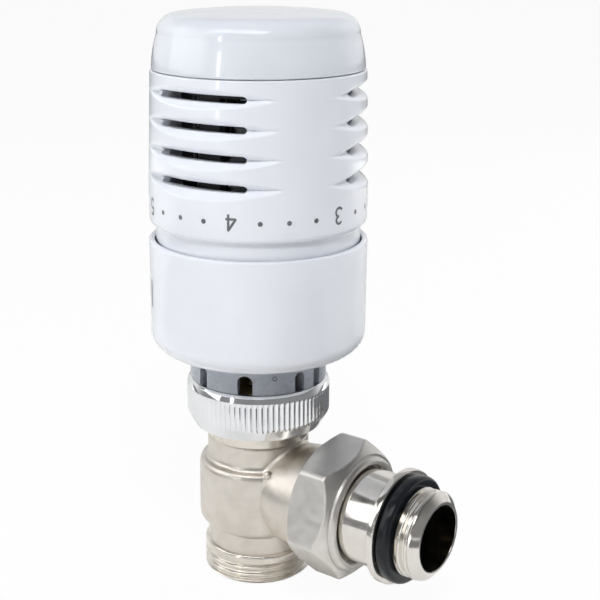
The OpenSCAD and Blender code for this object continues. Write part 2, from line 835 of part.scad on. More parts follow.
module handle() {
    inner_r = handle_r - handle_wall;
    spigot_top = seam_z + spigot_h - spigot_gap;
    web_top = handle_web_z + handle_web_t;
    neck_hole_r = cage_neck_r + 0.5;
    wall_z = bore_z + bore_cove;
    shell = concat(
        [[skirt_r - skirt_wall, skirt_z], [skirt_r - edge, skirt_z], [skirt_r, skirt_z + edge],
         [skirt_r, handle_z]],
        arc([handle_r - foot_round, handle_z + foot_round], [foot_round, foot_round], -90, 0, 6),
        [[handle_r, handle_z + foot_l], [handle_top_r, seam_z - fine], [handle_top_r - fine, seam_z],
         [spigot_r, seam_z], [spigot_r, spigot_top],
         [spigot_r - spigot_t, spigot_top], [spigot_r - spigot_t, web_top],
         [neck_hole_r, web_top], [neck_hole_r, handle_web_z],
         [inner_r, handle_web_z], [inner_r, bore_z + bore_cove],
         [skirt_r - skirt_wall + bore_cove, bore_z], [skirt_r - skirt_wall, bore_z - 1]]);
    color(plastic)
        difference() {
            union() {
                rotate_extrude()
                    polygon(shell);
                intersection() {
                    translate([0, 0, wall_z])
                        cylinder(r = inner_r + edge, h = handle_web_z + broad - wall_z);
                    each_groove()
                        groove(groove_r - groove_wall);
                }
            }
            each_groove()
                groove(groove_r);
            each_groove()
                slot();
        }
}

module top_cap() {
    side_h = cap_h - cap_dome - cap_round + 0.15;
    edge_r = cap_r - cap_draft - cap_round;
    top = seam_z + cap_h;
    rings = 6;
    crown = [for (i = [1:rings])
        let (r = edge_r * (1 - i / rings))
            [r, top - cap_dome * pow(r / edge_r, 2)]];
    inner_edge = cap_round - cap_wall;
    inner_z = seam_z + side_h - cap_shelf;
    color(plastic)
        rotate_extrude()
            difference() {
                polygon(concat(
                    [[0, seam_z], [cap_r - fine, seam_z], [cap_r, seam_z + fine]],
                    arc([edge_r, seam_z + side_h], [cap_round, cap_h - cap_dome - side_h], 0, 90, 10),
                    crown));
                polygon(concat(
                    [[0, seam_z - 1], [cap_r - cap_wall, seam_z - 1],
                     [cap_r - cap_wall, seam_z + spigot_h]],
                    arc([edge_r, inner_z], [inner_edge, inner_edge], 0, 90, 6),
                    [[0, inner_z + inner_edge]]));
            }
}

valve_body();
bonnet();
bonnet_oring();
gland_nut();
stem_oring();
valve_pin();
return_spring();
disc_holder();
disc_seal();
union_nut();
tailpiece();
union_seal();
tailpiece_oring();
coupling_nut();
collet();
base_collar();
thread_sleeve();
push_rod();
sensor_cage();
sensor_cartridge();
spring_cup();
overtravel_spring();
retaining_ring();
handle();
top_cap();
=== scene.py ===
import math
import bmesh
import bpy
import numpy as np
from mathutils import Matrix, Vector


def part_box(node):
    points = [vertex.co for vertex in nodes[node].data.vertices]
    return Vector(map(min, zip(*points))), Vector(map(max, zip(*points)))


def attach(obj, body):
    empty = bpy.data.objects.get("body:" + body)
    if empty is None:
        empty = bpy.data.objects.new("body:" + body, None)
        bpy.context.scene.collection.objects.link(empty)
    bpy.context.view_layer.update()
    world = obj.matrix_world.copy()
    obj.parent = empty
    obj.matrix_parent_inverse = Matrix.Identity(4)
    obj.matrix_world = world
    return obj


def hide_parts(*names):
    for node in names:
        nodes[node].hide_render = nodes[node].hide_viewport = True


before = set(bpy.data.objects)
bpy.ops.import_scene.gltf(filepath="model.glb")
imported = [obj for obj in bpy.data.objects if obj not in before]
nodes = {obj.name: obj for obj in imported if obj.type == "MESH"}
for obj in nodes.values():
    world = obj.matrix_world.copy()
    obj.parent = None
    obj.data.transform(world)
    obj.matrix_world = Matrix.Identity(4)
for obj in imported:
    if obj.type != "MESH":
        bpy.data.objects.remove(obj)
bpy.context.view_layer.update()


# ---- Valve body -----------------------------------------------------------
# The body is a hot brass forging: a round chamber with a shoulder and a neck,
# and a branch that runs into it with soft fillets. It is tumbled to a fine
# satin and nickel plated; both thread ends are turned on it afterwards.

def extent(node, axis):
    low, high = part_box(node)
    return low[axis] * 1000, high[axis] * 1000


def distance_to_outline(across, along, outline):
    """Signed distance from points to a closed outline, negative inside."""
    outline = np.array(outline, float)
    best = np.full(across.shape, 1e9)
    inside = np.zeros(across.shape, bool)
    for a, b in zip(outline, np.roll(outline, -1, axis=0)):
        edge = b - a
        u, v = across - a[0], along - a[1]
        t = np.clip((u * edge[0] + v * edge[1]) / (edge @ edge), 0, 1)
        best = np.minimum(best, (u - t * edge[0]) ** 2 + (v - t * edge[1]) ** 2)
        if edge[1] != 0:
            crosses = (a[1] > along) != (b[1] > along)
            inside ^= crosses & (across < a[0] + edge[0] * (along - a[1]) / edge[1])
    return np.where(inside, -1, 1) * np.sqrt(best)


def soft_min(a, b, blend):
    h = np.clip(0.5 + 0.5 * (b - a) / blend, 0, 1)
    return b + (a - b) * h - blend * h * (1 - h)


def arc(centre_r, centre_z, rr, rz, start, stop, steps):
    turns = np.radians(np.linspace(start, stop, steps + 1))
    return [(centre_r + rr * math.cos(t), centre_z + rz * math.sin(t)) for t in turns]


def shell_of(field, low, high, cell):
    """Quads on the zero surface of a field, one corner to each crossed cell."""
    axes = [np.arange(lo, hi + cell, cell) for lo, hi in zip(low, high)]
    grid = np.stack(np.meshgrid(*axes, indexing="ij"), -1)
    value = field(grid)
    solid = value < 0
    corners = [(i, j, k) for i in (0, 1) for j in (0, 1) for k in (0, 1)]
    size = [n - 1 for n in value.shape]

    def at(array, corner):
        return array[tuple(slice(c, c + n) for c, n in zip(corner, size))]

    count = sum(at(solid, c).astype(int) for c in corners)
    crossed = (count > 0) & (count < 8)
    total = np.zeros(tuple(size) + (3,))
    hits = np.zeros(tuple(size))
    for c in corners:
        for axis in range(3):
            if c[axis]:
                continue
            d = tuple(x + (1 if i == axis else 0) for i, x in enumerate(c))
            a, b = at(value, c), at(value, d)
            cut = (a < 0) != (b < 0)
            t = np.where(cut, a / np.where(cut, a - b, 1), 0)[..., None]
            spot = at(grid, c) + t * (at(grid, d) - at(grid, c))
            total += np.where(cut[..., None], spot, 0)
            hits += cut
    number = np.full(tuple(size), -1)
    number[crossed] = np.arange(crossed.sum())
    points = total[crossed] / hits[crossed][:, None]
    faces = []
    for axis in range(3):
        u, v = [i for i in range(3) if i != axis]
        i0 = [slice(1, n) for n in size]
        i0[axis] = slice(0, size[axis])
        here = tuple(i0)
        step = tuple(slice(s.start + (i == axis), s.stop + (i == axis)) for i, s in enumerate(i0))
        a, b = solid[here], solid[step]
        for flip, change in ((False, a & ~b), (True, b & ~a)):
            where = np.argwhere(change) + np.array([s.start for s in i0])
            ring = []
            for du, dv in ((0, 0), (1, 0), (1, 1), (0, 1)):
                w = where.copy()
                w[:, u] -= du
                w[:, v] -= dv
                ring.append(number[w[:, 0], w[:, 1], w[:, 2]])
            quad = np.stack(ring, 1)
            if flip != (axis == 1):
                quad = quad[:, ::-1]
            faces.append(quad)
    return points, np.vstack(faces)


def settle(points, field, rounds=4):
    """Moves points onto the zero surface of the field along its slope."""
    h = 0.02
    for _ in range(rounds):
        slope = np.stack([field(points + d) - field(points - d) for d in np.eye(3) * h], -1)
        slope /= 2 * h
        square = np.maximum((slope ** 2).sum(-1), 0.2)
        points = points - (field(points) / square)[:, None] * slope
    return points, slope / np.sqrt(square)[:, None]


def dress(made, *names):
    """Gives CAD pieces that keep their shape a finish."""
    for name in names:
        nodes[name].data.materials.clear()
        nodes[name].data.materials.append(made[0])


def make_piece(name, points, faces, body, finish, normals=None, sharp=None):
    """A mesh in millimetres made into a piece that rides on a body."""
    mesh = bpy.data.meshes.new(name)
    mesh.from_pydata((np.asarray(points) / 1000).tolist(), [], [list(map(int, f)) for f in faces])
    mesh.validate()
    mesh.polygons.foreach_set("use_smooth", [True] * len(mesh.polygons))
    if sharp:
        mesh.set_sharp_from_angle(angle=math.radians(sharp))
    if normals is not None:
        mesh.normals_split_custom_set_from_vertices(normals.tolist())
    mesh.materials.append(finish)
    piece = bpy.data.objects.new(name, mesh)
    bpy.context.scene.collection.objects.link(piece)
    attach(piece, body)
    return piece


def new_finish(name, colour, metallic, roughness):
    """A finish with its Principled shader; returns it with its nodes, links and shader."""
    finish = bpy.data.materials.new(name)
    finish.use_nodes = True
    shader = finish.node_tree.nodes["Principled BSDF"]
    shader.inputs["Base Color"].default_value = (*colour, 1)
    shader.inputs["Metallic"].default_value = metallic
    shader.inputs["Roughness"].default_value = roughness
    return finish, finish.node_tree.nodes, finish.node_tree.links, shader


def mottle(made, scale, low, high):
    """Clouds that vary the colour between two tones."""
    _, tree, links, shader = made
    place = tree.new("ShaderNodeTexCoord")
    cloud = tree.new("ShaderNodeTexNoise")
    cloud.inputs["Scale"].default_value = scale
    cloud.inputs["Detail"].default_value = 3
    tones = tree.new("ShaderNodeValToRGB")
    tones.color_ramp.elements[0].position = 0.35
    tones.color_ramp.elements[0].color = (*low, 1)
    tones.color_ramp.elements[1].position = 0.65
    tones.color_ramp.elements[1].color = (*high, 1)
    links.new(place.outputs["Object"], cloud.inputs["Vector"])
    links.new(cloud.outputs["Fac"], tones.inputs["Fac"])
    links.new(tones.outputs["Color"], shader.inputs["Base Color"])


def patchy_shine(made, scale, low, high):
    """Clouds that vary the roughness between two values."""
    _, tree, links, shader = made
    place = tree.new("ShaderNodeTexCoord")
    cloud = tree.new("ShaderNodeTexNoise")
    cloud.inputs["Scale"].default_value = scale
    cloud.inputs["Detail"].default_value = 4
    span = tree.new("ShaderNodeMapRange")
    span.inputs["From Min"].default_value = 0.3
    span.inputs["From Max"].default_value = 0.7
    span.inputs["To Min"].default_value = low
    span.inputs["To Max"].default_value = high
    links.new(place.outputs["Object"], cloud.inputs["Vector"])
    links.new(cloud.outputs["Fac"], span.inputs["Value"])
    links.new(span.outputs["Result"], shader.inputs["Roughness"])


def grain(made, scale, height, stretch=(1, 1, 1)):
    """A fine bump: an even grain, or turning lines where it is stretched."""
    _, tree, links, shader = made
    place = tree.new("ShaderNodeTexCoord")
    pull = tree.new("ShaderNodeMapping")
    pull.inputs["Scale"].default_value = stretch
    cloud = tree.new("ShaderNodeTexNoise")
    cloud.inputs["Scale"].default_value = scale
    cloud.inputs["Detail"].default_value = 2
    bump = tree.new("ShaderNodeBump")
    bump.inputs["Strength"].default_value = 1
    bump.inputs["Distance"].default_value = height / 1000
    links.new(place.outputs["Object"], pull.inputs["Vector"])
    links.new(pull.outputs["Vector"], cloud.inputs["Vector"])
    links.new(cloud.outputs["Fac"], bump.inputs["Height"])
    links.new(bump.outputs["Normal"], shader.inputs["Normal"])


outlet_z = 22.5
outlet_bore_r = 7.4
supply_bore_r = 9.6
thread_top = 7.8
neck_top = extent("bonnet", 2)[1] - 10.8
fillet = 0.4

forged = new_finish("forged_nickel", (0.765, 0.72, 0.66), 1, 0.32)
mottle(forged, 260, (0.73, 0.685, 0.625), (0.80, 0.755, 0.695))
patchy_shine(forged, 420, 0.30, 0.42)
grain(forged, 2600, 0.012)

chamber = [(0, 7.0), (12.45, 7.0), (12.45, 11.9), (12.25, 12.2)]
chamber += arc(12.3, 15.4, 2.2, 2.9, -75, 0, 8)
chamber += arc(13.4, 27.4, 1.1, 2.1, 0, 90, 8)
chamber += arc(13.4, 31.1, 1.0, 1.6, -90, -180, 8)[1:]
chamber += [(12.4, neck_top - 0.3), (12.1, neck_top), (0, neck_top)]
branch = [(0, 0), (11.3, 0), (11.3, 8.8), (12.2, 12.2), (12.7, 15.6), (12.7, 20.4),
          (12.1, 20.8), (0, 20.8)]
chamber_bore = [(-1, 2), (supply_bore_r, 2), (supply_bore_r, 10), (6, 11.5), (6, 15), (7.8, 15),
                (7.8, 14), (11, 14), (11, 28.8), (10, 29.8), (10, 40), (-1, 40)]
branch_bore = [(-1, 0), (outlet_bore_r, 0), (outlet_bore_r, 30), (-1, 30)]
nub_centre = np.array([10.6, -9.75, 29.9])
nub_r = 0.95


def forging(p):
    """Signed distance to the forging, in millimetres."""
    x, y, z = p[..., 0], p[..., 1], p[..., 2]
    spindle = np.hypot(x, y)
    outlet = np.hypot(y, z - outlet_z)
    body = distance_to_outline(spindle, z, chamber)
    arm = distance_to_outline(outlet, x, branch)
    solid = soft_min(body, arm, fillet)
    crease = np.hypot(body, arm) - fillet
    solid = soft_min(solid, crease, 0.25)
    nub = np.sqrt(((p - nub_centre) ** 2).sum(-1)) - nub_r
    solid = soft_min(solid, nub, 0.5)
    hollow = np.minimum(distance_to_outline(spindle, z, chamber_bore),
                        distance_to_outline(outlet, x, branch_bore))
    return np.maximum(solid, -hollow)


cell = 0.3
corners, quads = shell_of(forging, (-15.5, -15.5, 6), (21.9, 15.5, neck_top + 1), cell)
corners, slopes = settle(corners, forging)
forged_body = make_piece("forged_body", corners, quads, "valve", forged[0], slopes)
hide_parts("valve_body")


# ---- Thread ends of the valve body ---------------------------------------
# Two turned ends on the forging: the supply end below with its plain bore,
# and the outlet end that the union nut draws up on, with its seat cone.
# Both carry the same 14-turns-to-the-inch pipe thread.

def wrapped(rows, closed=True):
    """Quads over rows of points that go round, closed into a ring of rows."""
    points = np.asarray(rows, float)
    count, around = points.shape[:2]
    i = np.arange(count if closed else count - 1)[:, None]
    j = np.arange(around)[None, :]
    a, b = i * around + j, i * around + (j + 1) % around
    c, d = ((i + 1) % count) * around + (j + 1) % around, ((i + 1) % count) * around + j
    quads = np.stack([a, b, c, d], -1).reshape(-1, 4)
    return points.reshape(-1, 3), quads


def softened(outline, steps=4):
    """A closed outline of (across, along, corner radius) with its corners rounded."""
    outline = [tuple(p) + (0,) * (3 - len(p)) for p in outline]
    out = []
    for i, (across, along, radius) in enumerate(outline):
        p = np.array([across, along], float)
        a = np.array(outline[i - 1][:2], float) - p
        b = np.array(outline[(i + 1) % len(outline)][:2], float) - p
        la, lb = np.hypot(*a), np.hypot(*b)
        a, b = a / la, b / lb
        half = math.acos(max(-1, min(1, float(a @ b)))) / 2
        if radius <= 0 or half > 1.55:
            out.append(tuple(p))
            continue
        reach = min(radius / math.tan(half), 0.45 * la, 0.45 * lb)
        radius = reach * math.tan(half)
        middle = (a + b) / np.hypot(*(a + b))
        centre = p + middle * radius / math.sin(half)
        first, last = p + a * reach - centre, p + b * reach - centre
        start = math.atan2(first[1], first[0])
        sweep = math.atan2(last[1], last[0]) - start
        sweep = (sweep + math.pi) % (2 * math.pi) - math.pi
        for k in range(steps + 1):
            t = start + sweep * k / steps
            out.append((centre[0] + radius * math.cos(t), centre[1] + radius * math.sin(t)))
    return out


def about_spindle(radius, height, turn):
    """Points round the spindle, from +X towards +Y."""
    return np.stack([radius * np.cos(turn), radius * np.sin(turn), height + 0 * turn], -1)


def about_outlet(radius, along, turn):
    """Points round the outlet's axis, from +Z towards +Y."""
    return np.stack([along + 0 * turn, radius * np.sin(turn),
                     outlet_z + radius * np.cos(turn)], -1)


def lathed(outline, around, place):
    turn = np.linspace(0, 2 * math.pi, around, endpoint=False)
    return wrapped([place(r, h, turn) for r, h in outline])


def threaded(crest, root, start, stop, lead_in, pitch, per_turn, around, place, before, after):
    """Rows of a turned outline whose middle stretch carries a rolled pipe thread."""
    turn = np.linspace(0, 2 * math.pi, around, endpoint=False)
    rows = [place(r, h, turn) for r, h in before]
    for along in np.arange(start, stop + 1e-6, pitch / per_turn):
        phase = (along / pitch - turn / (2 * math.pi)) % 1
        ridge = np.abs(phase - 0.5) * 2
        ridge = np.clip((ridge - 0.12) / 0.76, 0, 1)
        ridge = ridge * ridge * (3 - 2 * ridge)
        fade = np.clip(min(along - start, stop - along) / lead_in, 0, 1)
        depth = (crest - root) * ridge * fade
        rows.append(place(crest - depth, along, turn))
    rows += [place(r, h, turn) for r, h in after]
    return wrapped(rows)


turned_nickel = new_finish("turned_nickel", (0.82, 0.775, 0.705), 1, 0.22)
mottle(turned_nickel, 300, (0.77, 0.725, 0.655), (0.85, 0.805, 0.735))
patchy_shine(turned_nickel, 500, 0.16, 0.28)
grain(turned_nickel, 900, 0.01, (1, 1, 6))

pipe_pitch = 1.814
union_crest_r = 13.22
supply_end = threaded(
    union_crest_r, 12.6, 0.75, thread_top - 2.3, 0.5, pipe_pitch, 28, 288, about_spindle,
    before=softened([(supply_bore_r, 0.3), (9.9, 0.0), (12.35, 0.0, 0.2), (12.9, 0.7)], 2),
    after=[(union_crest_r, thread_top - 2.2), (union_crest_r, thread_top - 0.55),
           (13.05, thread_top - 0.3), (12.5, thread_top - 0.02), (12.3, thread_top + 0.1),
           (supply_bore_r, thread_top + 0.1)])
supply_thread = make_piece("supply_thread", *supply_end, "valve", turned_nickel[0], sharp=50)

outlet_end = threaded(
    union_crest_r, 12.2, 21.2, 27.4, 0.5, pipe_pitch, 16, 180, about_outlet,
    before=[(outlet_bore_r, 20.7), (12.4, 20.7), (13.0, 21.0)],
    after=[(13.1, 27.6), (12.42, 28.3), (10.4, 28.3), (9.3, 24.2), (outlet_bore_r, 23.6)])
outlet_thread = make_piece("outlet_thread", *outlet_end, "valve", turned_nickel[0], sharp=50)


# ---- Bonnet, gland and pin ----------------------------------------------
# The valve's working parts: a nickel-plated brass bonnet, a brass gland nut
# screwed into it, a stainless pin with its return spring, and the rubber disc
# and rings that seal them.

dress(turned_nickel, "bonnet")

brass = new_finish("turned_brass", (0.76, 0.58, 0.27), 1, 0.25)
mottle(brass, 300, (0.70, 0.52, 0.23), (0.80, 0.62, 0.31))
grain(brass, 700, 0.008, (1, 1, 8))
steel = new_finish("stainless_steel", (0.63, 0.64, 0.66), 1, 0.24)
patchy_shine(steel, 600, 0.18, 0.32)
grain(steel, 800, 0.006, (1, 1, 6))
rubber = new_finish("black_rubber", (0.010, 0.012, 0.015), 0, 0.14)
patchy_shine(rubber, 700, 0.12, 0.22)
grain(rubber, 1200, 0.004)
rubber[3].inputs["Specular IOR Level"].default_value = 0.3

dress(brass, "gland_nut", "disc_holder")
dress(steel, "valve_pin", "return_spring")
dress(rubber, "disc_seal", "bonnet_oring", "stem_oring")


# ---- Union nut ------------------------------------------------------------
# A hexagon nut turned from nickel-plated brass bar. Its front is faced to a
# round lip inside a cone that bevels the six corners; the flats keep the
# satin of the bar.

nut_near, nut_far = extent("union_nut", 0)
across_flats = 30
nut_corner = math.radians(46.2)
bar_r = 17.35
nut_satin = new_finish("union_nut_satin", (0.76, 0.74, 0.71), 1, 0.36)
mottle(nut_satin, 240, (0.725, 0.705, 0.675), (0.79, 0.77, 0.74))
patchy_shine(nut_satin, 500, 0.32, 0.44)
grain(nut_satin, 1500, 0.006, (0.3, 1, 1))

nut_outline = softened([
    (13.4, nut_near + 0.4), (13.7, nut_near, 0.1), (15.2, nut_near, 0.3), (bar_r, nut_near + 1.5),
    (bar_r, nut_far - 4.4), (14.3, nut_far - 1.35, 0.25), (13.75, nut_far - 1.5, 0.15),
    (13.6, nut_far - 0.75, 0.35), (13.1, nut_far - 0.15, 0.5), (12.4, nut_far, 0.4),
    (11.9, nut_far - 0.5, 0.2), (11.9, nut_far - 2.0), (13.4, nut_far - 2.0)], 4)


def hexagon(turn):
    """Distance to a hexagon's side with slightly eased corners."""
    sector = (turn - nut_corner) % (math.pi / 3) - math.pi / 6
    side = across_flats / 2 / np.cos(sector)
    return side - 0.25 * np.exp(-((math.pi / 6 - np.abs(sector)) / 0.02) ** 2)


def filled_in(outline, gap):
    """The same outline with more points along its long edges."""
    out = []
    for a, b in zip(outline, outline[1:] + outline[:1]):
        n = max(1, int(math.dist(a, b) / gap))
        out += [(a[0] + (b[0] - a[0]) * k / n, a[1] + (b[1] - a[1]) * k / n) for k in range(n)]
    return out


around = np.linspace(0, 2 * math.pi, 432, endpoint=False)
flats = hexagon(np.pi / 2 + around)
rows = []
for r, x in filled_in(nut_outline, 0.35):
    reach = np.full(around.shape, r)
    if r > 14:
        reach = soft_min(reach, flats, 0.18)
    rows.append(about_outlet(reach, x, around))
union_nut = make_piece("union_hexagon", *wrapped(rows), "union_nut", nut_satin[0], sharp=35)
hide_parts("union_nut")


# ---- Tailpiece ------------------------------------------------------------
# The union's tail, turned and polished before plating: shoulder inside the
# nut, plain tube, flange, and a short pipe thread that screws into the
# radiator behind the black ring.

polished = new_finish("polished_nickel", (0.84, 0.81, 0.765), 1, 0.12)
mottle(polished, 220, (0.815, 0.785, 0.74), (0.865, 0.835, 0.79))
patchy_shine(polished, 500, 0.09, 0.16)
grain(polished, 900, 0.005, (8, 1, 1))

tail_near, tail_far = extent("tailpiece", 0)
tail_bore_r = 7.5
shoulder_r = 13.1
tube_r = 11.25
flange_r = 13.6
groove_r = 8.95
radiator_crest_r = 10.48
before_thread = softened([
    (tail_bore_r, tail_near + 0.3), (9.2, tail_near + 0.1, 0.2), (10.2, 28.3), (10.2, 28.6),
    (shoulder_r, 28.6, 0.1), (shoulder_r, 30.4, 0.1), (tube_r, 30.4, 0.2), (tube_r, 40.6, 0.4),
    (11.9, 41.0, 0.2), (flange_r, 41.0, 0.35), (flange_r, 42.85, 0.3),
    (groove_r, 42.85, 0.1), (groove_r, 46.35, 0.1), (10.1, 46.35, 0.1)], 4)
after_thread = softened([(10.3, 50.45), (9.9, 50.75, 0.1), (8.5, tail_far, 0.15),
                         (tail_bore_r, tail_far, 0.1)], 3)
tail_rows = threaded(
    radiator_crest_r, 9.5, 46.65, 50.2, 0.35, pipe_pitch, 28, 240, about_outlet,
    before=before_thread, after=after_thread + [(tail_bore_r, 45.0), (tail_bore_r, 35.0)])
tailpiece = make_piece("union_tail", *tail_rows, "tailpiece", polished[0], sharp=40)
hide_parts("tailpiece")

dress(rubber, "union_seal")

# the black ring fills its groove, squeezed flat against the flange
sweep = np.radians(np.linspace(0, 360, 40, endpoint=False))
squeezed = [(10.85 + 1.9 * np.sign(c) * abs(c) ** 0.6, 44.46 + 1.6 * np.sign(d) * abs(d) ** 0.6)
            for c, d in zip(np.cos(sweep), np.sin(sweep))]
ring = make_piece("sealing_ring", *lathed(squeezed, 192, about_outlet), "tailpiece", rubber[0])
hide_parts("tailpiece_oring")


# ---- Knurled coupling nut -------------------------------------------------
# A brass nut with bright chrome plate that holds the head on the valve. Its
# eighty ribs end on a smooth cone below and under a bevelled rim above.

nut_low, nut_high = extent("coupling_nut", 2)
ribs = 80
rib_height = 0.42
knurl_r = 17.35
rim_h = 1.75
run_out_h = 0.55
chrome = new_finish("bright_chrome", (0.88, 0.895, 0.915), 1, 0.07)
mottle(chrome, 260, (0.86, 0.875, 0.895), (0.90, 0.915, 0.935))
patchy_shine(chrome, 700, 0.05, 0.11)
grain(chrome, 900, 0.004)

collar_nut = softened([
    (15.15, nut_low + 0.1), (15.5, nut_low, 0.1), (knurl_r, nut_low + 3.4, 0.05),
    (knurl_r, nut_high - rim_h - run_out_h), (knurl_r, nut_high - rim_h, 0.05),
    (16.95, nut_high - 0.55, 0.2), (16.4, nut_high, 0.2), (15.75, nut_high, 0.1),
    (15.75, nut_high - 1.7), (16.45, nut_high - 1.7), (16.45, nut_low + 7.4),
    (15.1, nut_low + 7.4)], 3)
turn = np.linspace(0, 2 * math.pi, ribs * 10, endpoint=False)
ridge = np.abs(np.cos(turn * ribs / 2))
rows = []
for r, z in filled_in(collar_nut, 0.45):
    outside = nut_low < z < nut_high - 1.7 and r > 15.6 and not (r < 16.46 and z > nut_low + 1.5)
    run_out = np.clip((nut_high - rim_h - z) / run_out_h, 0, 1)
    ribbed = knurl_r - rib_height * (1 - ridge) * run_out
    reach = np.minimum(r, ribbed) if outside else np.full(turn.shape, r)
    rows.append(about_spindle(reach, z, turn))
knurled_nut = make_piece("knurled_nut", *wrapped(rows), "coupling_nut", chrome[0], sharp=42)
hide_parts("coupling_nut")


# ---- Socket ---------------------------------------------------------------
# The grey socket between the valve and the head, moulded in filled nylon. Its
# windows let the fitter see the valve's top; a small moulding gate shows at
# the front.

grey_nylon = new_finish("grey_nylon", (0.36, 0.385, 0.43), 0, 0.3)
mottle(grey_nylon, 320, (0.34, 0.365, 0.41), (0.385, 0.41, 0.455))
patchy_shine(grey_nylon, 500, 0.24, 0.36)
grain(grey_nylon, 1500, 0.006)
dress(grey_nylon, "collet")

gate_finish = new_finish("gate_mark", (0.11, 0.12, 0.14), 0, 0.5)
mottle(gate_finish, 900, (0.09, 0.10, 0.12), (0.13, 0.14, 0.16))
socket_r = 16.45
gate_z = 54.79
gate_out = np.array([12.94, -10.16, 0]) / 16.452
gate_side = np.array([10.16, 12.94, 0]) / 16.452
gate_turn = np.linspace(0, 2 * math.pi, 24, endpoint=False)[:, None]
# each of the gate's rings: radius, and height above the socket's skin
gate_rings = ((0.62, -0.06), (0.55, 0.06), (0.42, 0.09), (0.3, -0.1), (0.01, -0.12))
gate_rows = [gate_out * (socket_r + lift) + gate_side * r * np.cos(gate_turn)
             + np.array([0, 0, 1]) * (gate_z + r * np.sin(gate_turn)) for r, lift in gate_rings]
gate = make_piece("moulding_gate", *wrapped(gate_rows, closed=False), "head", gate_finish[0],
                  sharp=40)


# ---- Base collar ----------------------------------------------------------
# The white cup that carries the scale's index, moulded in glossy ABS with a
# generous round at its foot and a thin rim round the skirt of the handle.

white = new_finish("white_abs", (0.815, 0.84, 0.895), 0, 0.17)
mottle(white, 120, (0.808, 0.833, 0.888), (0.822, 0.847, 0.902))
patchy_shine(white, 300, 0.14, 0.2)
grain(white, 500, 0.003)
white[3].inputs["Coat Weight"].default_value = 0.4
white[3].inputs["Coat Roughness"].default_value = 0.05

collar_low, collar_high = extent("base_collar", 2)
collar_r = 25.7
collar_hole_r = 16.0
collar_inner_r = 24.3
collar_floor = 59.9
foot_r = 5.3
foot_h = 4.75
rim_round = 0.5
collar_outline = [(collar_hole_r, collar_low)]
collar_outline += arc(collar_r - foot_r, collar_low + foot_h, foot_r, foot_h, -90, 0, 16)
collar_outline += [(collar_r, z) for z in np.linspace(collar_low + 6, collar_high - 1, 6)]
collar_outline += arc(collar_r - rim_round, collar_high - rim_round, rim_round, rim_round, 0, 90, 6)
collar_outline += [(24.5, collar_high), (collar_inner_r, collar_high - 0.2), (collar_inner_r, 63.3),
                   (20.9, collar_floor), (collar_hole_r, collar_floor)]
collar = make_piece("index_collar", *lathed(collar_outline, 256, about_spindle), "head", white[0],
                    sharp=40)
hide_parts("base_collar")

ink = new_finish("grey_ink", (0.13, 0.135, 0.15), 0, 0.4)
mottle(ink, 900, (0.11, 0.115, 0.13), (0.16, 0.165, 0.18))


def on_drum(flat, radius, middle, height):
    """Wraps flat points (right, up) on a drum, about a direction and a height."""
    turn = math.radians(middle) + flat[:, 0] / radius
    return np.stack([radius * np.cos(turn), radius * np.sin(turn), height + flat[:, 1]], -1)


def pen_line(path, width, gap=0.15):
    """A flat ribbon along a path, with square ends."""
    path = np.array(path, float)
    steps = [path[:1]]
    for a, b in zip(path[:-1], path[1:]):
        n = max(1, int(np.hypot(*(b - a)) / gap))
        steps.append(a + (b - a) * np.arange(1, n + 1)[:, None] / n)
    line = np.vstack(steps)
    along = np.gradient(line, axis=0)
    along /= np.maximum(np.hypot(along[:, 0], along[:, 1]), 1e-9)[:, None]
    side = np.stack([-along[:, 1], along[:, 0]], 1) * width / 2
    points = np.vstack([line + side, line - side])
    n = len(line)
    faces = [(i, n + i, n + i + 1, i + 1) for i in range(n - 1)]
    return points, faces


def join(parts):
    """The points and faces of several parts as one list of each."""
    points, faces, base = [], [], 0
    for p, f in parts:
        points.append(p)
        faces += [tuple(i + base for i in face) for face in f]
        base += len(p)
    return np.vstack(points), faces


index_turn = -126
index_z = 72.8
index_half = 3.2
index_width = 1.1
bar, bar_faces = pen_line([(0, -index_half), (0, index_half)], index_width)
index_points = on_drum(bar, collar_r + 0.03, index_turn, index_z)
index_mark = make_piece("index_mark", index_points, bar_faces, "head", ink[0])


# ---- Inside of the head ---------------------------------------------------
# The screw sleeve, the keyed cage and the sensor with its cup, spring, circlip
# and push rod: moulded nylon, pressed steel and turned brass. The nylon is near
# black: its own dark grey, darkened further as painted shade for the inside of
# the head seen through the slots.

# near-black nylon: its own dark grey plus painted shade for the head's inside
dark_nylon_and_shade = new_finish("dark_nylon_and_shade", (0.030, 0.032, 0.038), 0, 0.45)
mottle(dark_nylon_and_shade, 300, (0.026, 0.028, 0.034), (0.036, 0.038, 0.044))
grain(dark_nylon_and_shade, 1200, 0.006)
dress(dark_nylon_and_shade, "sensor_cage", "thread_sleeve")
dress(steel, "sensor_cartridge", "spring_cup", "overtravel_spring", "retaining_ring")
dress(brass, "push_rod")


# ---- Handle ---------------------------------------------------------------
# The turning handle, moulded in glossy white ABS with a constant wall. Three
# groups of four scooped grooves give the grip; a slot runs through the bottom
# of each so that room air reaches the sensor.

skirt_low, handle_top = extent("handle", 2)
shoulder = skirt_low + 8.5
seam = extent("top_cap", 2)[0]
first_row = 11.8
row_pitch = 6.37
row_heights = [shoulder + first_row + row_pitch * i for i in range(4)]
group_turns = [-86.4, 33.6, 153.6]
scoop_behind = 15
scoop_bottom = 37.3
scoop_slope = 0.75
scoop_half = 3.2
wall = 1.85
skirt_r = 24.0
bore_r = 22.0
inner_r = 23.2
handle_r = 25.45
edge_r = 1.2
shelf_z = seam - 0.4
web_z = seam - 2.2

side_z = np.array([shoulder + edge_r, shoulder + 10, seam - 0.2])
side_r = np.array([handle_r, handle_r, 24.7])


